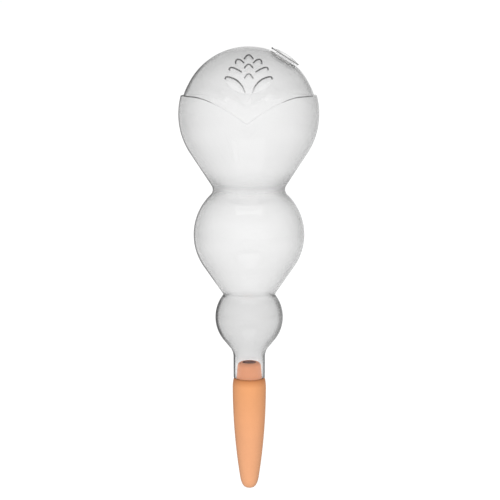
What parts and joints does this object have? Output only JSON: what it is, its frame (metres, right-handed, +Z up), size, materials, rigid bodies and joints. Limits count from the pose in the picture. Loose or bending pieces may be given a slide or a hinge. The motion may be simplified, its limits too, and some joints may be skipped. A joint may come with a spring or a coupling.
{
  "type": "plant watering globe",
  "caption": "Clear bulbous plant-watering reservoir with a push-in filler cap, seated by its neck on a porous terracotta spike.",
  "frame": {"origin": "on the axis at the soil line, where the neck's rim meets the spike's shoulder", "axes": "+Z up along the axis, -Y towards the petal relief, +X towards the filler cap"},
  "size_m": [0.09, 0.0896, 0.29],
  "materials": {
    "clear_plastic": "clear gloss",
    "soft_seal": "pale translucent silicone",
    "terracotta": "unglazed matt"
  },
  "bodies": {
    "spike": {"terracotta_spike": "terracotta"},
    "globe": {"reservoir": "clear_plastic", "filler_collar": "clear_plastic"},
    "cap": {"filler_cap": "clear_plastic", "cap_seal": "soft_seal"}
  },
  "joints": [
    {"name": "reservoir_lift", "type": "slide", "parent": "spike", "child": "globe", "axis": [0, 0, 1], "range_m": [0, 0.016]},
    {"name": "filler_cap_pull", "type": "slide", "parent": "globe", "child": "cap", "axis": [0.5373, 0, 0.8434], "range_m": [0, 0.01]}
  ]
}
